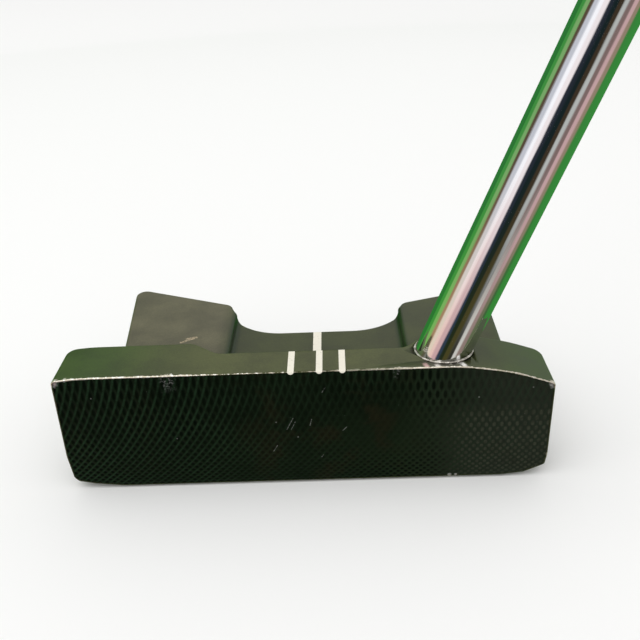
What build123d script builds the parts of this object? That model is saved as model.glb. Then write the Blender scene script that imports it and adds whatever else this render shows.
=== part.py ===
from build123d import *
from math import cos, radians, sin, tan
import os

# Blade putter with a milled face, a lower flange and two raised wings. Millimetres.
# +X points to the heel, -Y is the way the face looks and +Z is up.
# The origin is on the ground, under the middle of the flange line.

# Head, seen from the front
topline_height = 27.1
toe_end_x = -53.15
heel_end_x = 47.85
face_loft = 3.0
sole_flat_toe_x = -38.0
sole_flat_heel_x = 34.5
toe_relief = 1.7
heel_relief = 1.5
heel_slope_x = 39.3
heel_slope_height = 25.5
heel_top_height = 22.5
droop_start_x = 29.5
toe_drop_x = -48.0
toe_drop = 0.5

# Head, seen from above
leading_edge_y = -14.0
end_back_y = 0.3
waist_back_y = -4.1
waist_toe_x = -20.4
waist_heel_x = 18.4
toe_block_x = -25.9
boss_toe_x = 23.6
boss_heel_x = 31.0
boss_back_y = 1.3
boss_end_x = 36.0
flange_back_y = 14.0
recess_flat_x = 8.0
recess_radius = 13.0
toe_wing_inner = (-20.75, 24.47)
toe_wing_outer = (-46.0, 35.1)
toe_wing_front_x = -42.2
heel_wing_inner = (20.26, 22.67)
heel_wing_outer = (40.6, 29.2)
heel_wing_front_x = 40.1

# Levels behind the topline, and the rise of the sole towards the back
wing_top = 23.2
flange_top = 21.0
wing_wall_x = 19.1
rise_start_y = 8.0
rise_end_y = 37.0
rise_height = 11.0

# Corner and edge sizes of the head
end_corner = 2.4
heel_low_cut = ((42.6, 0.85), (47.2, 2.8), (47.8, 6.6))
toe_low_cut = ((-47.5, 1.0), (-51.6, 1.9), (-52.5, 2.9), (-53.35, 10.0))
cut_round = 1.0
wing_corner = 2.3
block_blend = 3.0
profile_blend = 40.0
rise_blend = 25.0
base_blend = 0.9
rim_round = 0.9
step_round = 0.9
wing_round = 0.7
face_round = 0.3
sole_round = 0.9
lead_lift = 0.45
lift_depth = 4.5

# Sight lines: round-bottomed grooves across the topline and the flange, filled with paint
sight_line_xs = {"sight_line_toe": -4.9, "sight_line_centre": 0.8, "sight_line_heel": 5.4}
sight_radius = 0.65
flange_line_radius = 0.92
flange_line_start_y = -2.6

# Shaft
lie = 68.65
shaft_x = 26.26
shaft_y = -5.73
tip_radius = 5.42
butt_radius = 7.37
tube_wall = 0.5
bore_depth = 22.0
bond_gap = 0.15
bead_width = 0.5
bead_height = 0.45
club_length = 863.6
taper_start = 230.0
taper_end = 530.0
plug_length = 6.0
plug_radius = tip_radius - tube_wall

# Grip
grip_length = 267.0
tape_thickness = 0.3
tape_short = 4.0
butt_grip_radius = 14.6
butt_grip_flat = 10.6
mouth_grip_radius = 9.6
mouth_grip_flat = 8.6
grip_corner = 3.0
mouth_corner = 1.6
cap_thickness = 3.6
cap_round = 1.4
mouth_round = 0.8
vent_radius = 1.5

# Helpers for placing things
near = 0.05
exact = 0.000001
end_margin = 1.0
clear_of_head = 80.0
clear_of_ends = 1.2
heel_slant = 0.3

os.makedirs("parts", exist_ok=True)

# Frames of the shaft: its base on the topline, and points along it
axis_x = cos(radians(lie))
axis_z = sin(radians(lie))
base_to_butt = club_length - topline_height / axis_z - cap_thickness
shaft_base = (shaft_x, shaft_y, topline_height)
shaft_axis = Axis(origin=shaft_base, direction=(axis_x, 0, axis_z))
shaft_section = Plane(origin=shaft_base, x_dir=(axis_z, 0, -axis_x), z_dir=(0, -1, 0))
bore_radius = tip_radius + bond_gap
through_mouth = 2 * bore_depth
tape_radius = butt_radius + tape_thickness

# Frames of the sight lines, looking along them from the back
sight_reach = end_back_y - leading_edge_y
sight_plane = Plane.XZ.offset(-end_back_y)
flange_line_reach = flange_back_y + end_back_y - flange_line_start_y
flange_line_plane = Plane.XZ.offset(-flange_back_y - end_back_y)


def along_shaft(distance):
    """Plane square to the shaft at a distance above its base; its x axis points away from the flat."""
    origin = (shaft_x + distance * axis_x, shaft_y, topline_height + distance * axis_z)
    return Plane(origin=origin, x_dir=(axis_z, 0, -axis_x), z_dir=(axis_x, 0, axis_z))


def corners(*wanted):
    """The corners of the sketch being drawn that lie at the wanted places."""
    return [vertices().sort_by_distance((x, y, 0))[0] for x, y in wanted]


def is_upright(edge):
    return edge.geom_type == GeomType.LINE and abs(edge.tangent_at(0).Z) > 1 - exact


def is_crossing(edge):
    """Runs front to back between the two ends, where two slopes of the topline or sole meet."""
    within_ends = toe_end_x + end_margin < edge.center().X < heel_end_x - end_margin
    return within_ends and edge.geom_type == GeomType.LINE and abs(edge.tangent_at(0).Y) > 1 - exact


def is_outline(edge):
    """Follows an outline seen from above, rather than crossing it or standing up."""
    return not (on_face(edge) or is_upright(edge) or is_crossing(edge))


def on_face(edge):
    middle = edge.center()
    return abs(middle.Y - leading_edge_y - middle.Z * tan(radians(face_loft))) < near


def is_wall(face):
    return abs(face.normal_at(face.center()).Z) < near


def is_step_rim(edge):
    level = abs(edge.center().Z - wing_top) < near and is_crossing(edge)
    return level and abs(abs(edge.center().X) - wing_wall_x) < near


def is_topline_rim(edge):
    box = edge.bounding_box()
    at_end = edge.center().X > heel_end_x - end_margin
    return is_outline(edge) and box.min.Z > heel_top_height - near and (box.max.Z > wing_top + near or at_end)


def is_back_rim(edge):
    box = edge.bounding_box()
    between_levels = box.min.Z > flange_top - near and box.max.Z < wing_top + near
    return is_outline(edge) and between_levels and edge.center().Y > end_back_y + near


def sole_level(y):
    """Height of the sole's middle over the ground at a depth y behind the origin."""
    return rise_height * max(0, y - rise_start_y) / (rise_end_y - rise_start_y)


def is_sole_rim(edge):
    middle = edge.center()
    behind_lift = middle.Y > leading_edge_y + lift_depth + near
    at_end = not toe_end_x + end_margin < middle.X < heel_end_x - end_margin
    low = middle.Z < sole_level(middle.Y) + toe_relief + near
    return is_outline(edge) and low and (behind_lift or at_end)


# Head blank: low body, topline block, recess between the wings; no holes or grooves yet
with BuildPart() as head_blank:
    # Outline of the wings and flange, carried up to the wing tops
    with BuildSketch(Plane.XY) as footprint:
        with BuildLine():
            Polyline(
                (-recess_flat_x, leading_edge_y),
                (toe_end_x, leading_edge_y),
                (toe_end_x, end_back_y),
                (toe_wing_front_x, end_back_y),
                toe_wing_outer,
                toe_wing_inner,
            )
            RadiusArc(toe_wing_inner, (-recess_flat_x, flange_back_y), -recess_radius)
            Line((-recess_flat_x, flange_back_y), (recess_flat_x, flange_back_y))
            RadiusArc((recess_flat_x, flange_back_y), heel_wing_inner, -recess_radius)
            Polyline(
                heel_wing_inner,
                heel_wing_outer,
                (heel_wing_front_x, end_back_y),
                (heel_end_x, end_back_y),
                (heel_end_x, leading_edge_y),
                (-recess_flat_x, leading_edge_y),
            )
        make_face()
        fillet(corners(toe_wing_outer, toe_wing_inner), wing_corner)
        fillet(corners(heel_wing_outer, heel_wing_inner), wing_corner)
        fillet(corners((toe_end_x, end_back_y), (heel_end_x, end_back_y)), end_corner)
    extrude(amount=wing_top)

    # Flange: the middle is lower than the wings
    with BuildSketch(Plane.XY.offset(flange_top)):
        with Locations((0, waist_back_y)):
            Rectangle(2 * wing_wall_x, clear_of_head, align=(Align.CENTER, Align.MIN))
    extrude(amount=topline_height, mode=Mode.SUBTRACT)
    wall_feet = edges().filter_by(Axis.Y).filter_by(lambda e: abs(e.center().Z - flange_top) < near)
    fillet(wall_feet.filter_by(lambda e: abs(abs(e.center().X) - wing_wall_x) < near), base_blend)

    # Topline block, thicker at the toe and heel
    with BuildSketch(Plane.XY) as topline:
        with BuildLine():
            Polyline(
                (toe_end_x, leading_edge_y),
                (heel_end_x, leading_edge_y),
                (heel_end_x, end_back_y),
                (boss_end_x, end_back_y),
                (boss_heel_x, boss_back_y),
                (boss_toe_x, boss_back_y),
                (waist_heel_x, waist_back_y),
                (waist_toe_x, waist_back_y),
                (toe_block_x, end_back_y),
                (toe_end_x, end_back_y),
                close=True,
            )
        make_face()
        fillet(corners((toe_end_x, end_back_y), (heel_end_x, end_back_y)), end_corner)
        waist = ((waist_heel_x, waist_back_y), (waist_toe_x, waist_back_y), (toe_block_x, end_back_y))
        fillet(corners(*waist), block_blend)
        boss = ((boss_toe_x, boss_back_y), (boss_heel_x, boss_back_y), (boss_end_x, end_back_y))
        fillet(corners(*boss), block_blend)
    extrude(amount=topline_height)

    # Outline seen from the front: sole relief, droop to the heel, rounded corners
    with BuildSketch(Plane.XZ) as front:
        toe_low = (toe_end_x, toe_relief)
        heel_low = (heel_end_x - heel_slant, heel_relief)
        toe_high = (toe_end_x, topline_height - toe_drop)
        heel_high = (heel_end_x, heel_top_height)
        with BuildLine():
            Polyline(
                (sole_flat_toe_x, 0),
                (sole_flat_heel_x, 0),
                heel_low,
                heel_high,
                (heel_slope_x, heel_slope_height),
                (droop_start_x, topline_height),
                (toe_drop_x, topline_height),
                toe_high,
                toe_low,
                close=True,
            )
        make_face()
        slopes = ((droop_start_x, topline_height), (heel_slope_x, heel_slope_height))
        ends = ((toe_drop_x, topline_height), (sole_flat_toe_x, 0), (sole_flat_heel_x, 0))
        fillet(corners(*slopes, *ends), profile_blend)
    extrude(amount=clear_of_head, both=True, mode=Mode.INTERSECT)

    # Loft: the face leans back from the leading edge
    face_back = topline_height * tan(radians(face_loft))
    with BuildSketch(Plane.YZ):
        with BuildLine():
            Polyline(
                (leading_edge_y, 0),
                (leading_edge_y + face_back, topline_height),
                (leading_edge_y - face_back, topline_height),
                (leading_edge_y - face_back, 0),
                close=True,
            )
        make_face()
        # The sole's front lifts a little, so the leading edge clears the ground, and its back rises
        with BuildLine():
            Polyline(
                (leading_edge_y - sole_round, lead_lift * (1 + sole_round / lift_depth)),
                (leading_edge_y + lift_depth, 0),
                (rise_start_y, 0),
                (rise_end_y, rise_height),
                (rise_end_y, -rise_height),
                (leading_edge_y - sole_round, -rise_height),
                close=True,
            )
        make_face()
        fillet(corners((rise_start_y, 0)), rise_blend)
    extrude(amount=clear_of_head, both=True, mode=Mode.SUBTRACT)

    # Rounded rims: the recess steps, the topline, the wings and flange, then the sole
    fillet(edges().filter_by(is_step_rim), step_round)
    fillet(edges().filter_by(is_topline_rim), rim_round)
    fillet(edges().filter_by(is_back_rim), wing_round)
    fillet(faces().filter_by(is_wall).edges().filter_by(is_sole_rim), sole_round)

    # Lower corners of the two ends, cut back, and the rim round the face
    for cut in (heel_low_cut, toe_low_cut):
        inner, outer = cut[0], cut[-1]
        outside = outer[0] * clear_of_ends
        with BuildSketch(Plane.XZ):
            with BuildLine():
                Polyline(*cut, (outside, outer[1]), (outside, -outer[1]), (inner[0], -outer[1]), close=True)
            make_face()
            fillet(corners(*cut[1:-1]), cut_round)
        extrude(amount=clear_of_head, both=True, mode=Mode.SUBTRACT)
    fillet(edges().filter_by(on_face), face_round)


# Head: the blank with its shaft bore and the grooves of the sight lines
with BuildPart() as head_body:
    add(head_blank.part)
    with BuildSketch(along_shaft(-bore_depth)):
        Circle(bore_radius)
    extrude(amount=through_mouth, mode=Mode.SUBTRACT)
    for line_x in sight_line_xs.values():
        with BuildSketch(sight_plane):
            with Locations((line_x, topline_height)):
                Circle(sight_radius)
        extrude(amount=sight_reach, mode=Mode.SUBTRACT)
    with BuildSketch(flange_line_plane):
        with Locations((0, flange_top)):
            Circle(flange_line_radius)
    extrude(amount=flange_line_reach, mode=Mode.SUBTRACT)
head_body.part.label = "head_body"
export_step(head_body.part, "parts/head_body.step")

# Sight lines: paint that fills each groove flush with the head's surface
for line_name, line_x in sight_line_xs.items():
    with BuildPart() as sight_line:
        with BuildSketch(sight_plane):
            with Locations((line_x, topline_height)):
                Circle(sight_radius)
        extrude(amount=sight_reach)
        add(head_blank.part, mode=Mode.INTERSECT)
    sight_line.part.label = line_name
    export_step(sight_line.part, f"parts/{line_name}.step")

with BuildPart() as flange_sight_line:
    with BuildSketch(flange_line_plane):
        with Locations((0, flange_top)):
            Circle(flange_line_radius)
    extrude(amount=flange_line_reach)
    add(head_blank.part, mode=Mode.INTERSECT)
flange_sight_line.part.label = "flange_sight_line"
export_step(flange_sight_line.part, "parts/flange_sight_line.step")

# Bond between head and shaft: a thin sleeve in the bore and a small bead at its mouth
with BuildPart() as shaft_epoxy:
    with BuildSketch(along_shaft(-bore_depth)):
        Circle(bore_radius)
    extrude(amount=through_mouth)
    with BuildSketch(Plane.XY.offset(topline_height)):
        with Locations((shaft_x, shaft_y)):
            Rectangle(through_mouth, through_mouth)
    extrude(amount=through_mouth, mode=Mode.SUBTRACT)
    with BuildSketch(Plane.XY.offset(topline_height)):
        with Locations((shaft_x, shaft_y)):
            Ellipse((bore_radius + bead_width) / axis_z, bore_radius + bead_width)
    with BuildSketch(Plane.XY.offset(topline_height + bead_height)):
        with Locations((shaft_x + bead_height * axis_x / axis_z, shaft_y)):
            Ellipse(bore_radius / axis_z, bore_radius)
    loft()
    with BuildSketch(along_shaft(-bore_depth)):
        Circle(tip_radius)
    extrude(amount=through_mouth, mode=Mode.SUBTRACT)
shaft_epoxy.part.label = "shaft_epoxy"
export_step(shaft_epoxy.part, "parts/shaft_epoxy.step")

# Shaft: steel tube with a straight tip, a long taper and a straight butt under the grip
with BuildPart() as shaft:
    with BuildSketch(shaft_section):
        with BuildLine():
            Polyline(
                (tip_radius, -bore_depth),
                (tip_radius, taper_start),
                (butt_radius, taper_end),
                (butt_radius, base_to_butt),
                (butt_radius - tube_wall, base_to_butt),
                (butt_radius - tube_wall, taper_end),
                (plug_radius, taper_start),
                (plug_radius, -bore_depth),
                close=True,
            )
        make_face()
    revolve(axis=shaft_axis)
shaft.part.label = "shaft"
export_step(shaft.part, "parts/shaft.step")

# Plug that closes the tube's tip inside the bore
with BuildPart() as tip_plug:
    with BuildSketch(along_shaft(-bore_depth)):
        Circle(plug_radius)
    extrude(amount=plug_length)
tip_plug.part.label = "tip_plug"
export_step(tip_plug.part, "parts/tip_plug.step")

# Double-sided tape between the tube and the grip
with BuildPart() as grip_tape:
    with BuildSketch(along_shaft(base_to_butt - grip_length + tape_short)):
        Circle(tape_radius)
        Circle(butt_radius, mode=Mode.SUBTRACT)
    extrude(amount=grip_length - tape_short)
grip_tape.part.label = "grip_tape"
export_step(grip_tape.part, "parts/grip_tape.step")


def grip_outline(radius, flat, corner):
    """A round with one flat side, the thumbs' side, drawn in the current sketch."""
    Circle(radius)
    with Locations((-flat, 0)):
        Rectangle(2 * radius, 2 * radius, align=(Align.MAX, Align.CENTER), mode=Mode.SUBTRACT)
    fillet(vertices(), corner)


# Grip: a rubber sleeve with a flat front, wider at the butt than at the mouth
with BuildPart() as grip:
    with BuildSketch(along_shaft(base_to_butt - grip_length)):
        grip_outline(mouth_grip_radius, mouth_grip_flat, mouth_corner)
    with BuildSketch(along_shaft(base_to_butt)):
        grip_outline(butt_grip_radius, butt_grip_flat, grip_corner)
    loft()
    fillet(faces().sort_by(shaft_axis)[0].edges(), mouth_round)
    with BuildSketch(along_shaft(base_to_butt - grip_length)):
        Circle(butt_radius)
    extrude(amount=grip_length, mode=Mode.SUBTRACT)
    with BuildSketch(along_shaft(base_to_butt - grip_length + tape_short)):
        Circle(tape_radius)
    extrude(amount=grip_length, mode=Mode.SUBTRACT)
grip.part.label = "grip"
export_step(grip.part, "parts/grip.step")

# Cap of the grip, with its vent hole
with BuildPart() as grip_cap:
    with BuildSketch(along_shaft(base_to_butt)):
        grip_outline(butt_grip_radius, butt_grip_flat, grip_corner)
    extrude(amount=cap_thickness)
    fillet(faces().sort_by(shaft_axis)[-1].edges(), cap_round)
    with BuildSketch(along_shaft(base_to_butt)):
        Circle(vent_radius)
    extrude(amount=cap_thickness, mode=Mode.SUBTRACT)
grip_cap.part.label = "grip_cap"
export_step(grip_cap.part, "parts/grip_cap.step")
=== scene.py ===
import math
import bpy
from mathutils import Matrix, Vector


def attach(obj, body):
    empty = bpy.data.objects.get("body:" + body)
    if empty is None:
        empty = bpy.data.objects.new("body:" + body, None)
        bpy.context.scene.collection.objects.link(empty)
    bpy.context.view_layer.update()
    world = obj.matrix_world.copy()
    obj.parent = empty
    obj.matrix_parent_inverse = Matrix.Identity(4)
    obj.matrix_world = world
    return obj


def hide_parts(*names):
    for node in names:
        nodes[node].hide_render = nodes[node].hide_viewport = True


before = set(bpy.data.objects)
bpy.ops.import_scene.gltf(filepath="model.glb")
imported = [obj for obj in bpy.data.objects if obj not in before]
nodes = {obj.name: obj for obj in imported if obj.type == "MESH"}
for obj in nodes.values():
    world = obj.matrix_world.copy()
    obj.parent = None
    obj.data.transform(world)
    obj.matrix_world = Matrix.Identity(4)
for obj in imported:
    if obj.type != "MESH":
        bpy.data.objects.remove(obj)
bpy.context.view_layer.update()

scene = bpy.context.scene
mm = 0.001

# Sizes that several pieces share, in millimetres, as in the CAD model
head = {
    "toeX": -53.15,
    "heelX": 47.85,
    "frontY": -14.0,
    "loft": math.radians(3.0),
    "height": 27.1,
    "droops": ((29.5, 0.1633, 0.0), (39.3, 0.3509, 1.6)),  # start, slope and drop so far, towards the heel
    "toeDrop": (-48.0, 0.097),
    "slopeBlend": 0.85,
}
club = {
    "lie": math.radians(68.65),
    "base": Vector((26.26, -5.73, 27.1)),
    "tip": 5.42,
    "butt": 7.37,
    "wall": 0.5,
    "inHead": 22.0,
    "taper": (230.0, 530.0),
    "length": 863.6,
    "cap": 3.6,
    "gripLength": 267.0,
}
club["toButt"] = club["length"] - head["height"] / math.sin(club["lie"]) - club["cap"]
noiseRange = (0.3, 0.7)  # most of a noise lies between these


# One output of a shader node, which adds its maths nodes when it stands in an expression
class Wire:
    def __init__(self, tree, socket):
        self.tree = tree
        self.socket = socket

    def make(self, kind, inputs=None, out=0, stops=None, **settings):
        node = self.tree.nodes.new("ShaderNode" + kind)
        for name, value in settings.items():
            setattr(node, name, value)
        for place, (position, color) in enumerate(stops or ()):
            ramp = node.color_ramp.elements
            stop = ramp[place] if place < 2 else ramp.new(position)
            stop.position = position
            stop.color = (*color, 1)
        for name, value in (inputs or {}).items():
            self.plug(node.inputs[name], value)
        return Wire(self.tree, node.outputs[out])

    def plug(self, target, value):
        if isinstance(value, Wire):
            self.tree.links.new(value.socket, target)
            return
        several = hasattr(value, "__len__")
        if target.type == "RGBA":
            value = (*value, 1) if several else (value, value, value, 1)
        elif target.type == "VECTOR" and not several:
            value = (value, value, value)
        target.default_value = value

    def pair(self, other, operation, flipped=False):
        first, second = (other, self) if flipped else (self, other)
        kinds = [side.socket.type for side in (first, second) if isinstance(side, Wire)]
        if "RGBA" in kinds:
            inputs = {0: 1.0, 6: first, 7: second}
            return self.make("Mix", inputs, out=2, data_type="RGBA", blend_type=operation)
        kind = "VectorMath" if "VECTOR" in kinds else "Math"
        return self.make(kind, {0: first, 1: second}, operation=operation)

    def __add__(self, other):
        return self.pair(other, "ADD")

    def __radd__(self, other):
        return self.pair(other, "ADD", True)

    def __sub__(self, other):
        return self.pair(other, "SUBTRACT")

    def __rsub__(self, other):
        return self.pair(other, "SUBTRACT", True)

    def __mul__(self, other):
        return self.pair(other, "MULTIPLY")

    def __rmul__(self, other):
        return self.pair(other, "MULTIPLY", True)

    def __truediv__(self, other):
        return self.pair(other, "DIVIDE")

    def __pow__(self, other):
        return self.pair(other, "POWER")

    def __abs__(self):
        return self.maths("ABSOLUTE")

    def most(self, other):
        return self.pair(other, "MAXIMUM")

    def softLeast(self, other, blend):
        return self.make("Math", {0: self, 1: other, 2: blend}, operation="SMOOTH_MIN")

    def maths(self, operation):
        return self.make("Math", {0: self}, operation=operation)

    def part(self, letter):
        return self.make("SeparateXYZ", {0: self}, out="XYZ".index(letter))

    def ramp(self, low, high, start=0.0, end=1.0):
        inputs = {"Value": self, "From Min": low, "From Max": high, "To Min": start, "To Max": end}
        return self.make("MapRange", inputs, interpolation_type="SMOOTHSTEP")

    def fade(self, low, high):
        return self.ramp(low, high, 1.0, 0.0)

    def vary(self, start=0.0, end=1.0):
        return self.ramp(*noiseRange, start, end)

    def noise(self, scale, detail=3.0, rough=0.55):
        inputs = {"Vector": self, "Scale": scale, "Detail": detail, "Roughness": rough}
        return self.make("TexNoise", inputs)

    def blend(self, first, second):
        return self.make("Mix", {0: self, 6: first, 7: second}, out=2, data_type="RGBA")

    def between(self, first, second):
        return self.make("Mix", {0: self, 2: first, 3: second}, out=0)


# A new material, and Object coordinates in millimetres
def startMaterial(name):
    material = bpy.data.materials.new(name)
    material.use_nodes = True
    tree = material.node_tree
    coords = Wire(tree, tree.nodes.new("ShaderNodeTexCoord").outputs["Object"])
    return material, coords * 1000.0


# Sets the shader's inputs, then stacks bumps, each a height and a depth, on its normal
def setShader(material, place, inputs, bumps=()):
    shader = material.node_tree.nodes["Principled BSDF"]
    for name, value in inputs.items():
        place.plug(shader.inputs[name], value)
    normal = {}
    for height, depth in bumps:
        normal = {"Normal": place.make("Bump", {"Height": height, "Distance": depth, **normal})}
    if normal:
        place.plug(shader.inputs["Normal"], normal["Normal"])
    return material


# Distance from a point, given how far off it lies each way
def distance(aside, along):
    return (aside ** 2.0 + along ** 2.0).maths("SQRT")


def pick(piece):
    bpy.ops.object.select_all(action="DESELECT")
    piece.select_set(True)
    bpy.context.view_layer.objects.active = piece


# Enters edit mode on one piece, where operators then act on its faces, edges or vertices
def editMode(piece, kind="FACE"):
    pick(piece)
    bpy.ops.object.mode_set(mode="EDIT")
    bpy.ops.mesh.select_mode(type=kind)


def objectMode():
    bpy.ops.object.mode_set(mode="OBJECT")


# Selects the faces that pass a test, from object mode
def chooseFaces(piece, test):
    mesh = piece.data
    mesh.vertices.foreach_set("select", [False] * len(mesh.vertices))
    mesh.edges.foreach_set("select", [False] * len(mesh.edges))
    mesh.polygons.foreach_set("select", [test(face) for face in mesh.polygons])


def smooth(piece, degrees):
    pick(piece)
    bpy.ops.object.shade_smooth_by_angle(angle=math.radians(degrees))


# Names a piece, gives it its material, moves its place into its mesh and hands it to the frame
def settle(piece, name, material, replaced=()):
    piece.name = name
    piece.data.name = name
    piece.data.materials.clear()
    piece.data.materials.append(material)
    pick(piece)
    bpy.ops.object.transform_apply(location=True, rotation=True, scale=True)
    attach(piece, "root")
    if replaced:
        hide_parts(*replaced)
    return piece


# Gives a CAD node that stays as it is a better material
def repaint(nodeName, material):
    nodes[nodeName].data.materials.clear()
    nodes[nodeName].data.materials.append(material)


# A copy of a CAD node, its loose triangles merged
def copyNode(nodeName):
    piece = bpy.data.objects.new(nodeName + "Copy", nodes[nodeName].data.copy())
    scene.collection.objects.link(piece)
    editMode(piece)
    bpy.ops.mesh.select_all(action="SELECT")
    bpy.ops.mesh.remove_doubles(threshold=0.002 * mm)
    objectMode()
    return piece


print("head")
# Height of the topline along the head, as a shader value
def toplineAt(x):
    drop, slope = head["toeDrop"]
    top = (x - drop) * slope + head["height"]
    for start, slope, fallen in head["droops"]:
        line = (start - x) * slope + (head["height"] - fallen)
        top = top.softLeast(line, head["slopeBlend"])
    return top.softLeast(head["height"], head["slopeBlend"])


finish = {
    # The black finish's colours, tinted olive and green as painted reflection on the dark metal
    "topline": (0.068, 0.076, 0.029),
    "toplineEnds": (0.037, 0.064, 0.014),
    "toeWing": (0.103, 0.096, 0.059),
    "flange": (0.050, 0.057, 0.024),
    "wallShade": (0.016, 0.032, 0.010),  # painted shade where the wings step down to the flange
    "bare": (0.56, 0.50, 0.40),
    "bright": (0.92, 0.90, 0.84),
    "greenFrom": (20.0, 46.0),    # from the middle, where the topline turns to its ends' colour
    "toplineDepth": (1.5, 2.8),   # below the topline, where its colour ends
    "deck": (19.5, 21.0),         # height where the colours of the flange and wings begin
    "toeWingEnd": (-23.0, -18.0),
    "wallAt": 19.0,               # the wings' walls, on both sides of the middle
    "shaftPatchReach": (6.0, 9.0),       # round the shaft
    "wearWidth": 0.26,
    # Worn corners of the face: place across and up, and size
    "corners": (
        (-52.9, 26.4, 1.5),
        (47.6, 22.4, 1.2),
        (47.7, 5.4, 0.6),
        (27.3, 0.8, 0.55),
        (28.6, 0.9, 0.35),
        (-50.2, 26.8, 0.4),
    ),
    "chips": ((-29.6, 1.7, 1.1), (16.3, 0.9, 0.7)),  # place along the edge, half length, depth
    "scratches": (((-30.4, 7.1), (-27.2, 9.0)), ((-29.2, 8.6), (-27.3, 9.2))),  # on the toe wing
    "scratchColor": (0.50, 0.40, 0.26),
    "shaftPatch": (0.16, 0.15, 0.13),
    # Painted reflection of the shaft on the topline: bright pink and white streaks in front of it
    "shaftReflections": (
        (((21.9, -11.3), (22.2, -12.3)), (0.55, 0.36, 0.33)),
        (((24.2, -11.7), (24.4, -12.4)), (0.72, 0.68, 0.62)),
        (((28.6, -10.6), (29.6, -12.0)), (0.90, 0.88, 0.84)),
    ),
}


# 1 along the line from start to end, fading to 0 by a width aside
def streak(across, along, start, end, width):
    run = (end[0] - start[0], end[1] - start[1])
    length = math.hypot(*run)
    dx, dy = run[0] / length, run[1] / length
    forward = (across - start[0]) * dx + (along - start[1]) * dy
    aside = abs((across - start[0]) * dy - (along - start[1]) * dx)
    inside = abs(forward - length / 2).fade(length / 2, length / 2 + width)
    return inside * aside.fade(width * 0.3, width)


# 1 at the face's worn corners
def cornerWear(across, up, crumbs):
    worn = None
    for x, z, size in finish["corners"]:
        away = distance(across - x, up - z) + (crumbs - 0.5) * size
        spot = away.fade(size * 0.45, size)
        worn = worn.most(spot) if worn else spot
    return worn


# 1 where the metal is bare along the front edge of the topline, ragged, with a few chips into the face
def edgeWear(x, behind, below, blotch, crumbs):
    middle = abs(x + 10.0).ramp(6.0, 22.0, 0.5, 1.0)
    ragged = blotch.ramp(0.35, 0.72, 0.45, 1.3) * x.ramp(-35.0, -12.0, 1.35, 1.0)
    ragged = ragged + crumbs.ramp(0.45, 0.75, 0.0, 0.8)
    width = ragged * middle * finish["wearWidth"]
    reach = width
    bites = crumbs.ramp(0.34, 0.56)
    for along, half, depth in finish["chips"]:
        inside = abs(x - along).fade(half * 0.5, half)
        reach = reach.most(inside * bites * depth)
        width = width.most(inside * bites * depth * 0.9)
    return (behind / width).most(below / reach).fade(0.75, 1.15)


# 1 round the shaft's base and in front of it, where the topline is made lighter, greyer and glossier
def shaftFrontPatch(x, y):
    base = club["base"]
    fromShaft = distance(x - base.x - 0.5, (y - base.y) * 1.1)
    inFront = y.fade(-10.0, -8.0) * abs(x - base.x + 0.5).fade(2.0, 4.5)
    return fromShaft.fade(*finish["shaftPatchReach"]) * inFront


# The black's colour, tinted olive and green as painted reflection: green towards the topline's ends, browner
# on the toe wing, and darkened at the walls as painted shade
def blackAndPaintedLight(x, z, onTop):
    near, far = finish["greenFrom"]
    topColor = (x * x).ramp(near ** 2, far ** 2).blend(finish["topline"], finish["toplineEnds"])
    onDeck = z.ramp(*finish["deck"])
    lowColor = (x.fade(*finish["toeWingEnd"]) * onDeck).blend(finish["flange"], finish["toeWing"])
    # Painted shade on the walls where the wings step down to the flange
    wallShadeMask = abs(abs(x) - finish["wallAt"]).fade(0.2, 1.5)
    lowColor = (wallShadeMask * onDeck * 0.85).blend(lowColor, finish["wallShade"])
    return onTop.blend(lowColor, topColor)


def paintHead(name):
    material, place = startMaterial(name)
    x, y, z = place.part("X"), place.part("Y"), place.part("Z")
    cloud = place.noise(0.09, 4.0, 0.6)
    blotch = place.noise(0.55, 4.0, 0.65)
    crumbs = place.noise(1.6, 4.0, 0.7)
    grain = place.noise(3.2, 5.0, 0.6)
    behind = (y - head["frontY"]) * math.cos(head["loft"]) - z * math.sin(head["loft"])
    below = toplineAt(x) - z
    worn = edgeWear(x, behind, below, blotch, crumbs)
    worn = worn.most(cornerWear(x, z, crumbs) * behind.fade(0.5, 1.0))
    scratched = None
    for line in finish["scratches"]:
        mark = streak(x, y, *line, 0.45) * grain.ramp(0.38, 0.6)
        scratched = scratched.most(mark) if scratched else mark
    shaftPatch = shaftFrontPatch(x, y)
    onTop = below.fade(*finish["toplineDepth"])
    color = blackAndPaintedLight(x, z, onTop)
    color = color * (cloud.vary(0.78, 1.22) * grain.vary(0.86, 1.14))
    # A lighter, glossier grey patch round the shaft's base
    color = (shaftPatch * 0.7).blend(color, finish["shaftPatch"])
    # Painted reflection of the shaft, as bright streaks on the topline in front of it
    for line, tint in finish["shaftReflections"]:
        reflection = streak(x, y, *line, 0.7) * crumbs.ramp(0.3, 0.55, 0.5, 1.0) * onTop
        color = reflection.blend(color, tint)
    color = (scratched * (z - 22.0).ramp(0.0, 1.0)).blend(color, finish["scratchColor"])
    bright = crumbs.ramp(0.48, 0.62) * x.ramp(-30.0, 10.0, 1.0, 0.45)
    color = worn.blend(color, bright.blend(finish["bare"], finish["bright"]))
    rough = cloud.vary(0.32, 0.44) + grain.vary(-0.03, 0.03)
    rough = worn.between(shaftPatch.between(rough, 0.30), 0.36)
    metal = worn.most(shaftPatch * 0.6)
    bumps = ((grain, 0.006 * mm), (1.0 - worn, 0.03 * mm))
    inputs = {"Base Color": color, "Roughness": rough, "Metallic": metal, "Specular IOR Level": 0.2}
    return setShader(material, place, inputs, bumps)


headMetal = paintHead("blackenedSteel")
headPiece = copyNode("head_body")
faceNormal = Vector((0, -math.cos(head["loft"]), math.sin(head["loft"])))
faceUp = Vector((0, math.sin(head["loft"]), math.cos(head["loft"])))
faceFoot = Vector((0, head["frontY"], 0)) * mm


def depthInFace(point):
    return (point - faceFoot).dot(faceNormal)


def onFacePlane(piece):
    flat = [abs(depthInFace(vertex.co)) < 0.01 * mm for vertex in piece.data.vertices]
    return lambda face: all(flat[index] for index in face.vertices)


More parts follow.
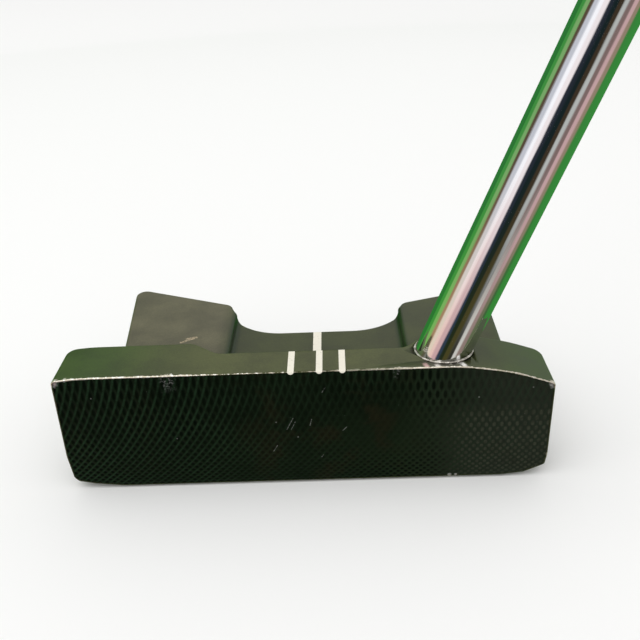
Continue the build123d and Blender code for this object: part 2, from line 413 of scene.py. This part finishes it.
# Sides of the face's convex outline: a point on each, and its outward direction. A side that turns
# only slightly from one already found is left out
def faceOutline(piece):
    mesh = piece.data
    faces = list(filter(onFacePlane(piece), mesh.polygons))
    points = [mesh.vertices[index].co.copy() for index in {i for face in faces for i in face.vertices}]
    sides = []
    for start, end in {key for face in faces for key in face.edge_keys}:
        start, end = mesh.vertices[start].co.copy(), mesh.vertices[end].co
        for outward in ((end - start).cross(faceNormal), (start - end).cross(faceNormal)):
            outward.normalize()
            isEdge = all((point - start).dot(outward) < 0.005 * mm for point in points)
            if isEdge and all((outward - other).length > 0.01 for place, other in sides):
                sides.append((start, outward))
    return sides


milling = {
    "radius": 44.0,   # of the cutter's path
    "centre": 37.2,   # height of the arcs' centres, up the face
    "pitch": 1.57,
    "depth": 0.13,
    "steps": 5,       # mesh points from one ridge to the next
    "skin": 0.25,
    "gap": 0.16,      # taken off the plate's edges, and left behind it
}
outline = faceOutline(headPiece)
chooseFaces(headPiece, onFacePlane(headPiece))
editMode(headPiece)
bpy.ops.mesh.inset(thickness=0.02 * mm, depth=-(milling["skin"] + milling["gap"]) * mm)
objectMode()
smooth(headPiece, 30)
# Long thin triangles on the topline would bend its normals otherwise
even = headPiece.modifiers.new("even", "WEIGHTED_NORMAL")
even.keep_sharp = True
bpy.ops.object.modifier_apply(modifier="even")
settle(headPiece, "headShell", headMetal, ["head_body"])


print("milled face")
# Ridges run along x + swing and x - swing, where swing is the arc's sideways reach at that height
def swingAt(up):
    return math.sqrt(milling["radius"] ** 2 - (up - milling["centre"]) ** 2)


def millFace():
    pitch, steps = milling["pitch"], milling["steps"]
    margin = 1.0
    low, high = swingAt(0), swingAt(head["height"])
    first = (math.floor((head["toeX"] + low) / pitch), math.floor((head["toeX"] - high) / pitch))
    last = (math.ceil((head["heelX"] + high) / pitch), math.ceil((head["heelX"] - low) / pitch))
    cells = [last[side] - first[side] for side in (0, 1)]
    bpy.ops.object.select_all(action="DESELECT")
    bpy.ops.mesh.primitive_grid_add(x_subdivisions=cells[0] * steps, y_subdivisions=cells[1] * steps, size=1)
    piece = bpy.context.object

    # Which ridges of each set a point of the grid lies between
    def lattice(point):
        return [first[side] + (point[side] + 0.5) * cells[side] for side in (0, 1)]

    def acrossAndSwing(one, two):
        return (one + two) * pitch / 2, (one - two) * pitch / 2

    def isOutside(face):
        x, swing = acrossAndSwing(*lattice(face.center))
        inRows = low - margin < swing < high + margin
        return not (inRows and head["toeX"] - margin < x < head["heelX"] + margin)

    chooseFaces(piece, isOutside)
    editMode(piece)
    bpy.ops.mesh.delete(type="FACE")
    objectMode()
    for vertex in piece.data.vertices:
        one, two = lattice(vertex.co)
        x, swing = acrossAndSwing(one, two)
        up = milling["centre"] - math.sqrt(max(0, milling["radius"] ** 2 - swing ** 2))
        hollow = 16 * (one % 1) * (1 - one % 1) * (two % 1) * (1 - two % 1)  # 0 on a ridge, 1 mid-cell
        vertex.co = Vector((x, up, -milling["depth"] * hollow)) * mm
    return piece


# Cuts the plate to the face's outline, then closes its sides and back
def trimFace(piece):
    editMode(piece)
    for point, outward in outline:
        local = Vector((point.x, (point - faceFoot).dot(faceUp), 0))
        side = Vector((outward.x, outward.dot(faceUp), 0))
        bpy.ops.mesh.select_all(action="SELECT")
        bpy.ops.mesh.bisect(plane_co=local - side * milling["gap"] * mm, plane_no=side, clear_outer=True)
    bpy.ops.mesh.select_mode(type="EDGE")
    bpy.ops.mesh.select_all(action="DESELECT")
    bpy.ops.mesh.select_non_manifold()
    bpy.ops.mesh.extrude_edges_move()
    bpy.ops.transform.resize(value=(1, 1, 0), center_override=(0, 0, -milling["skin"] * mm))
    bpy.ops.mesh.edge_face_add()
    bpy.ops.mesh.select_all(action="SELECT")
    bpy.ops.mesh.normals_make_consistent(inside=False)
    objectMode()


millFinish = {
    # The milled face's colours: near-black steel tinted green as painted reflection, with painted highlights
    # where light catches the ridges at the toe and the pads at the heel
    "valley": (0.0006, 0.0040, 0.0010),
    "dull": (0.0150, 0.0280, 0.0115),  # both ridges and valleys, where light falls evenly
    "heelDull": (0.0230, 0.0300, 0.0200),
    "brown": (0.0200, 0.0190, 0.0080),
    "ridge": (0.024, 0.058, 0.028),
    "pad": (0.062, 0.072, 0.048),
    "scuff": (0.62, 0.64, 0.62),
    "rubbedAt": (14.0, 13.0, 13.0),  # across, up and how far the milling is rubbed flat
    "specks": ((-29.3, 12.1), (32.7, 19.9), (43.4, 21.8), (-45.6, 22.4), (-8.5, 15.4), (-4.2, 11.6)),
    "strokes": (
        ((-5.0, 16.2), (-6.4, 13.5)),
        ((-4.6, 15.3), (-5.5, 13.5)),
        ((5.1, 12.9), (6.0, 13.8)),
        ((1.2, 22.2), (1.9, 23.3)),
        ((0.5, 6.4), (0.9, 7.0)),
        ((-9.5, 8.2), (-8.6, 9.6)),
        ((-1.2, 15.8), (-1.6, 14.4)),
    ),
}


# How bare the metal is on the face: dust, corners, specks, strokes and the chips' lower ends
def millScuffs(place, x, up):
    crumbs = place.noise(1.6, 4.0, 0.7)
    bare = (place.noise(2.4, 3.0, 0.7).ramp(0.72, 0.80) * 0.3).most(cornerWear(x, up, crumbs) * 0.9)
    for across, height in millFinish["specks"]:
        near = distance(x - across, up - height) + crumbs * 0.35
        bare = bare.most(near.ramp(0.15, 0.42, 0.5, 0.0))
    for start, end in millFinish["strokes"]:
        bare = bare.most(streak(x, up, start, end, 0.12) * crumbs.ramp(0.38, 0.6) * 0.4)
    for along, half, depth in finish["chips"]:
        inside = abs(x - along).fade(half * 0.4, half * 1.2)
        high = up.ramp(head["height"] - 4.0 * depth, head["height"] - 0.5)
        bare = bare.most(inside * high * crumbs.ramp(0.50, 0.64) * 0.35)
    return bare


def paintMilled(name):
    material, place = startMaterial(name)
    x, z = place.part("X"), place.part("Z")
    up = z / math.cos(head["loft"])
    swing = (milling["radius"] ** 2 - (up - milling["centre"]) ** 2.0).maths("SQRT")

    # 1 on the ridges of one set, 0 midway between them
    def ridge(along):
        return abs((along / milling["pitch"]).maths("FRACT") - 0.5) * 2.0

    leftRidge, rightRidge = ridge(x - swing), ridge(x + swing)
    cloud = place.noise(0.08, 3.0, 0.6)
    grain = place.noise(5.0, 4.0, 0.6)
    across, height, reach = millFinish["rubbedAt"]
    fromRub = distance((x - across) * 0.7, up - height)
    crisp = fromRub.ramp(reach * 0.2, reach, 0.1, 1.0) * cloud.vary(0.55, 1.0)
    crisp = crisp * abs(x + 6.0).ramp(3.0, 24.0, 0.45, 1.0)
    patchy = place.noise(0.75, 3.0, 0.7).ramp(0.3, 0.62, 0.3, 1.0)
    # Light catches one set of ridges at the toe, and the pads between them at the heel
    toeSide = x.fade(-30.0, 26.0)
    lowHeel = x.ramp(22.0, 34.0) * up.ramp(15.0, 19.0, 1.0, 0.15)
    rightShare = up.ramp(16.0, 24.0, 0.5, 0.8) * x.ramp(-30.0, 8.0, 0.25, 1.0)
    ridges = leftRidge.ramp(0.45, 0.95).most(rightRidge.ramp(0.55, 0.98) * rightShare)
    dots = ((1.0 - leftRidge) * (1.0 - rightRidge)).ramp(0.08, 0.55)
    dull = x.ramp(14.0, 40.0).blend(millFinish["dull"], millFinish["heelDull"])
    tone = cloud.ramp(0.25, 0.75, 0.2, 0.5) + x.ramp(8.0, 36.0, 0.0, 0.6) + up.ramp(4.0, 24.0, 0.3, 0.05)
    color = tone.blend(millFinish["valley"], dull)
    rusty = place.noise(0.13, 4.0, 0.65).ramp(0.48, 0.66)
    rusty = rusty * abs(x - 2.0).ramp(8.0, 22.0, 0.75, 0.15)
    color = rusty.blend(color, millFinish["brown"])
    color = (ridges * crisp * patchy * (toeSide * 0.7 + 0.3)).blend(color, millFinish["ridge"])
    color = (dots * crisp * (1.0 - lowHeel) * x.ramp(25.0, 40.0, 1.0, 0.3)).blend(color, millFinish["valley"])
    color = (dots * lowHeel * patchy * 0.85).blend(color, millFinish["pad"])
    bare = millScuffs(place, x, up)
    color = bare.blend(color, millFinish["scuff"])
    rough = bare.between(grain.vary(0.36, 0.5), 0.4)
    metal = bare.ramp(0.0, 1.0, 0.6, 1.0)
    inputs = {"Base Color": color, "Roughness": rough, "Metallic": metal, "Specular IOR Level": 0.1}
    return setShader(material, place, inputs, ((grain, 0.004 * mm),))


milledFace = millFace()
trimFace(milledFace)
milledFace.rotation_euler = (math.pi / 2 - head["loft"], 0, 0)
milledFace.location = faceFoot
smooth(milledFace, 40)
settle(milledFace, "milledFace", paintMilled("milledSteel"))


print("sight lines")
paintFill = {
    "cream": (0.82, 0.78, 0.66),
    "dirt": (0.42, 0.38, 0.29),
}


def paintCream(name):
    material, place = startMaterial(name)
    grime = place.noise(1.6, 4.0, 0.65).ramp(0.55, 0.75)
    pores = place.noise(9.0, 3.0, 0.6)
    color = (grime * 0.55).blend(paintFill["cream"], paintFill["dirt"])
    rough = pores.vary(0.28, 0.5)
    return setShader(material, place, {"Base Color": color, "Roughness": rough}, ((pores, 0.01 * mm),))


cream = paintCream("creamEnamel")
for name in ("sight_line_toe", "sight_line_centre", "sight_line_heel", "flange_sight_line"):
    repaint(name, cream)


print("shaft")
plating = {
    "chrome": (0.86, 0.86, 0.87),
    "hazy": 0.94,            # brightness left in the haze
    "drawn": (1, 1, 0.06),   # stretches the grain along the shaft
    "sides": 128,
}


def paintChrome(name):
    material, place = startMaterial(name)
    drawn = place.make("Mapping", {"Vector": place, "Rotation": (0, club["lie"] - math.pi / 2, 0)})
    drawn = drawn * Vector(plating["drawn"])
    waves = drawn.noise(0.35, 2.0)
    lines = drawn.noise(4.0, 4.0, 0.6)
    haze = place.noise(0.15, 4.0, 0.6)
    rough = haze.ramp(0.35, 0.75, 0.035, 0.09) + lines.ramp(0.6, 0.8, 0.0, 0.08)
    color = haze.blend(plating["chrome"], [value * plating["hazy"] for value in plating["chrome"]])
    bumps = ((waves, 0.045 * mm), (lines, 0.0006 * mm))
    return setShader(material, place, {"Base Color": color, "Roughness": rough, "Metallic": 1.0}, bumps)


def makeShaft():
    start, end = club["taper"]
    grown = club["butt"] / club["tip"]
    bpy.ops.object.select_all(action="DESELECT")
    foot = (0, 0, -club["inHead"] * mm)
    bpy.ops.mesh.primitive_circle_add(vertices=plating["sides"], radius=club["tip"] * mm, location=foot)
    piece = bpy.context.object
    editMode(piece, "EDGE")
    bpy.ops.mesh.select_all(action="SELECT")
    for rise, scale in ((club["inHead"] + start, 1), (end - start, grown), (club["toButt"] - end, 1)):
        bpy.ops.mesh.extrude_region_move(TRANSFORM_OT_translate={"value": (0, 0, rise * mm)})
        bpy.ops.transform.resize(value=(scale, scale, 1))
    bpy.ops.mesh.select_all(action="SELECT")
    bpy.ops.mesh.normals_make_consistent(inside=False)
    objectMode()
    wall = piece.modifiers.new("wall", "SOLIDIFY")
    wall.thickness = club["wall"] * mm
    wall.offset = -1
    pick(piece)
    bpy.ops.object.modifier_apply(modifier="wall")
    return piece


# Turns a piece made along Z to lie along the shaft, with its zero at the shaft's base
def leanToShaft(piece):
    piece.rotation_euler = (0, math.pi / 2 - club["lie"], 0)
    piece.location = club["base"] * mm


shaftPiece = makeShaft()
pick(shaftPiece)
bpy.ops.object.transform_apply(location=True, rotation=True, scale=True)
leanToShaft(shaftPiece)
smooth(shaftPiece, 35)
settle(shaftPiece, "chromeShaft", paintChrome("brightChrome"), ["shaft"])


print("bond")
bond = {
    "radius": 5.52,      # of the ring's middle line
    "thickness": 0.14,
    "proud": 0.3,        # how much of its thickness its middle stands over the topline
    "resin": (0.22, 0.20, 0.16),
    "shine": (0.80, 0.76, 0.68),
}


def paintResin(name):
    material, place = startMaterial(name)
    lumps = place.noise(0.9, 3.0, 0.6)
    color = lumps.ramp(0.35, 0.65).blend(bond["resin"], bond["shine"])
    rough = lumps.vary(0.12, 0.3)
    inputs = {"Base Color": color, "Roughness": rough, "Metallic": 0.7}
    return setShader(material, place, inputs, ((lumps, 0.05 * mm),))


bpy.ops.object.select_all(action="DESELECT")
bpy.ops.mesh.primitive_torus_add(
    major_segments=160,
    minor_segments=16,
    major_radius=bond["radius"] * mm,
    minor_radius=bond["thickness"] * mm,
)
bondRing = bpy.context.object
editMode(bondRing, "VERT")
bpy.ops.mesh.select_all(action="SELECT")
bpy.ops.transform.resize(value=(1 / math.sin(club["lie"]), 1, 1))
objectMode()
bondRing.location = (club["base"] + Vector((0, 0, bond["thickness"] * bond["proud"]))) * mm
smooth(bondRing, 60)
settle(bondRing, "bondRing", paintResin("curedResin"), ["shaft_epoxy"])


print("grip")
grip = {
    "butt": (14.59, 10.6),  # radius, and how far out the flat side is
    "mouth": (9.59, 8.6),
    "sharpness": 24,
    "around": 120,
    "along": 400,
    "lip": 0.8,             # rounding at the mouth
    "lipRows": 6,
    "tape": 0.3,
    "tapeShort": 4.0,
    "plain": (14.0, 10.0),  # left smooth at the mouth and at the butt
    "turns": 14,            # of grooves, crossing each other
    "pitch": 12.0,
    "groove": 0.5,
    "grooveFrom": 0.6,      # of its wave's height, where a groove starts
    "besideFlat": (-0.5, 0.2),  # cosine of the angle where the grooves start, and over how much
}


# Distance from the grip's middle to its outside, at an angle and a height over the mouth
def gripRadius(angle, height):
    share = height / club["gripLength"]
    radius, flat = (low + (high - low) * share for low, high in zip(grip["mouth"], grip["butt"]))
    away = (max(0.0, -math.cos(angle)) / flat) ** grip["sharpness"]
    radius = (radius ** -grip["sharpness"] + away) ** (-1 / grip["sharpness"])
    lip = max(0.0, 1 - height / grip["lip"])
    radius -= grip["lip"] * (1 - math.sqrt(1 - lip * lip))
    low, high = grip["plain"]
    inside = min(1.0, max(0.0, height - low), max(0.0, club["gripLength"] - high - height))
    lines = [math.cos(angle * grip["turns"] + side * height * math.tau / grip["pitch"]) for side in (1, -1)]
    cut = max(0.0, (max(lines) - grip["grooveFrom"]) / (1 - grip["grooveFrom"]))
    start, over = grip["besideFlat"]
    offFlat = min(1.0, max(0.0, math.cos(angle) - start) / over)
    return radius - grip["groove"] * cut * inside * offFlat


def makeGrip():
    bore, wide = club["butt"], club["butt"] + grip["tape"]
    rows = [grip["lip"] * row / grip["lipRows"] for row in range(grip["lipRows"])]
    rest = club["gripLength"] - grip["lip"]
    rows += [grip["lip"] + rest * row / grip["along"] for row in range(grip["along"] + 1)]
    inner = ((wide, club["gripLength"]), (wide, grip["tapeShort"]), (bore, grip["tapeShort"]), (bore, 0.0))
    bpy.ops.object.select_all(action="DESELECT")
    lines = len(rows) + len(inner)
    bpy.ops.mesh.primitive_grid_add(x_subdivisions=grip["around"], y_subdivisions=lines, size=1)
    piece = bpy.context.object
    for vertex in piece.data.vertices:
        angle = (vertex.co.x + 0.5) * math.tau
        row = round((vertex.co.y + 0.5) * lines) % lines
        if row < len(rows):
            height = rows[row]
            radius = gripRadius(angle, height)
        else:
            radius, height = inner[row - len(rows)]
        vertex.co = Vector((radius * math.cos(angle), radius * math.sin(angle), height)) * mm
    editMode(piece, "VERT")
    bpy.ops.mesh.select_all(action="SELECT")
    bpy.ops.mesh.remove_doubles(threshold=0.0005 * mm)
    bpy.ops.mesh.normals_make_consistent(inside=False)
    bpy.ops.transform.translate(value=(0, 0, (club["toButt"] - club["gripLength"]) * mm))
    objectMode()
    return piece


# Dark and light colour, and how fine the pores are
rubbers = {
    "gripRubber": ((0.012, 0.012, 0.013), (0.040, 0.040, 0.041), 2.5),
    "capRubber": ((0.006, 0.006, 0.006), (0.020, 0.020, 0.021), 4.0),
    "plugPlastic": ((0.08, 0.08, 0.08), (0.16, 0.16, 0.16), 1.2),
}
paperTape = {
    "shade": (0.60, 0.55, 0.44),
    "light": (0.80, 0.77, 0.70),
}


def paintRubber(name):
    low, high, fine = rubbers[name]
    material, place = startMaterial(name)
    worn = place.noise(0.12, 4.0, 0.6)
    pores = place.noise(fine, 4.0, 0.65)
    color = (worn.vary() * 0.7 + pores * 0.3).blend(low, high)
    rough = worn.vary(0.45, 0.6) + pores.vary(-0.05, 0.05)
    return setShader(material, place, {"Base Color": color, "Roughness": rough}, ((pores, 0.05 * mm),))


def paintTape(name):
    material, place = startMaterial(name)
    fibres = (place * Vector((1, 1, 0.3))).noise(1.8, 5.0, 0.7)
    stains = place.noise(0.08, 3.0, 0.6)
    color = (fibres * 0.6 + stains.vary() * 0.4).blend(paperTape["shade"], paperTape["light"])
    rough = fibres.vary(0.7, 0.9)
    return setShader(material, place, {"Base Color": color, "Roughness": rough}, ((fibres, 0.04 * mm),))


gripPiece = makeGrip()
leanToShaft(gripPiece)
smooth(gripPiece, 35)
settle(gripPiece, "gripSleeve", paintRubber("gripRubber"), ["grip"])
repaint("grip_cap", paintRubber("capRubber"))
repaint("tip_plug", paintRubber("plugPlastic"))
repaint("grip_tape", paintTape("paperTape"))


print("camera and light")
view = {
    "place": Vector((5.2, -142.2, 110.6)) * mm,
    "aim": Vector((1.74, -21.6, 43.64)) * mm,
    "roll": math.radians(-2.79),
    "lens": 43.76,
    "sensor": 36,
    "clip": (0.005, 20),
}
cameraData = bpy.data.cameras.new("camera")
cameraData.lens = view["lens"]
cameraData.sensor_width = view["sensor"]
cameraData.clip_start, cameraData.clip_end = view["clip"]
camera = bpy.data.objects.new("camera", cameraData)
scene.collection.objects.link(camera)
turn = (view["aim"] - view["place"]).to_track_quat("-Z", "Y").to_matrix()
turn = turn @ Matrix.Rotation(view["roll"], 3, "Z")
camera.matrix_world = Matrix.Translation(view["place"]) @ turn.to_4x4()
scene.camera = camera

studio = {
    "floor": (0.90, 0.90, 0.89),
    "floorSize": 6.0,
    "world": 0.86,
    "lampPower": 14.0,
    "lampSize": 2.0,
    "lampPlace": Vector((-0.5, -0.4, 1.9)),
}
world = bpy.data.worlds.new("softWorld")
world.use_nodes = True
world.node_tree.nodes["Background"].inputs["Color"].default_value = (1, 1, 1, 1)
world.node_tree.nodes["Background"].inputs["Strength"].default_value = studio["world"]
scene.world = world
scene.view_settings.view_transform = "Standard"
lampData = bpy.data.lights.new("softBox", "AREA")
lampData.size = studio["lampSize"]
lampData.energy = studio["lampPower"]
lamp = bpy.data.objects.new("softBox", lampData)
lamp.location = studio["lampPlace"]
lamp.rotation_euler = (-studio["lampPlace"]).to_track_quat("-Z", "Y").to_euler()
scene.collection.objects.link(lamp)

bpy.ops.object.select_all(action="DESELECT")
bpy.ops.mesh.primitive_plane_add(size=studio["floorSize"])
floor = bpy.context.object
floor.name = "floor"
floorMaterial, floorPlace = startMaterial("paleFloor")
setShader(floorMaterial, floorPlace, {"Base Color": studio["floor"], "Roughness": 0.85})
floor.data.materials.append(floorMaterial)
floor.visible_glossy = False

# A tent round the shaft that only its mirror finish sees. Each band gives the angle it ends at,
# then its colour low down and high up
tent = {
    "radius": 0.6,
    "below": 1.0,
    "above": 0.13,
    "sides": 120,
    "soft": 3.2,
    "change": (-310.0, -60.0),
    "waver": (10.0, 9.0),  # degrees, slow and quick
    "bands": (
        (60, (0.045, 0.27, 0.045), (0.045, 0.27, 0.050)),
        (132, (0.03, 0.21, 0.035), (0.03, 0.20, 0.040)),
        (152, (0.06, 0.34, 0.05), (0.06, 0.31, 0.06)),
        (172, (0.22, 0.52, 0.12), (0.22, 0.45, 0.16)),
        (186, (0.46, 0.29, 0.16), (0.11, 0.08, 0.05)),
        (204, (0.85, 0.72, 0.56), (0.62, 0.64, 0.70)),
        (218, (0.90, 0.62, 0.54), (1.10, 1.10, 1.14)),
        (236, (0.66, 0.42, 0.42), (1.00, 0.92, 0.93)),
        (250, (0.035, 0.055, 0.085), (0.022, 0.028, 0.040)),
        (266, (0.020, 0.030, 0.012), (0.010, 0.020, 0.021)),
        (284, (0.072, 0.066, 0.020), (0.050, 0.036, 0.022)),
        (298, (0.030, 0.030, 0.020), (0.52, 0.54, 0.52)),
        (313, (0.68, 0.68, 0.62), (0.23, 0.16, 0.15)),
        (330, (0.28, 0.21, 0.18), (0.62, 0.41, 0.41)),
        (347, (0.10, 0.15, 0.07), (0.33, 0.25, 0.18)),
        (360, (0.06, 0.12, 0.05), (0.05, 0.25, 0.05)),
    ),
}


def makeTent():
    height = tent["below"] + tent["above"]
    middle = (0, 0, (tent["above"] - tent["below"]) / 2)
    bpy.ops.object.select_all(action="DESELECT")
    bpy.ops.mesh.primitive_cylinder_add(
        vertices=tent["sides"], radius=tent["radius"], depth=height, end_fill_type="NOTHING", location=middle
    )
    piece = bpy.context.object
    bpy.ops.object.transform_apply(location=True, rotation=True, scale=True)
    material, place = startMaterial("tentCloth")
    turn = place.part("Y").pair(place.part("X"), "ARCTAN2") * (180 / math.pi)
    slow = (place * 0.004).noise(1.0, 3.0) - 0.5
    quick = (place * 0.02).noise(1.0, 4.0, 0.7) - 0.5
    waver = slow * tent["waver"][0] + quick * tent["waver"][1]
    share = ((turn + waver) / 360.0).maths("FRACT")
    colors = []
    for side in (1, 2):
        stops = []
        before = 0
        for band in tent["bands"]:
            stops.append(((before + tent["soft"]) / 360, band[side]))
            stops.append(((band[0] - tent["soft"]) / 360, band[side]))
            before = band[0]
        colors.append(share.make("ValToRGB", {"Fac": share}, stops=stops))
    color = (place.part("Z") + waver * 12.0).ramp(*tent["change"]).blend(*colors)
    inputs = {"Base Color": (0, 0, 0), "Specular IOR Level": 0.0, "Emission Color": color}
    setShader(material, place, {**inputs, "Emission Strength": 1.0})
    piece.data.materials.append(material)
    leanToShaft(piece)
    for ray in ("camera", "diffuse", "shadow", "transmission", "volume_scatter"):
        setattr(piece, "visible_" + ray, False)
    piece.name = "lightTent"
    return piece


makeTent()
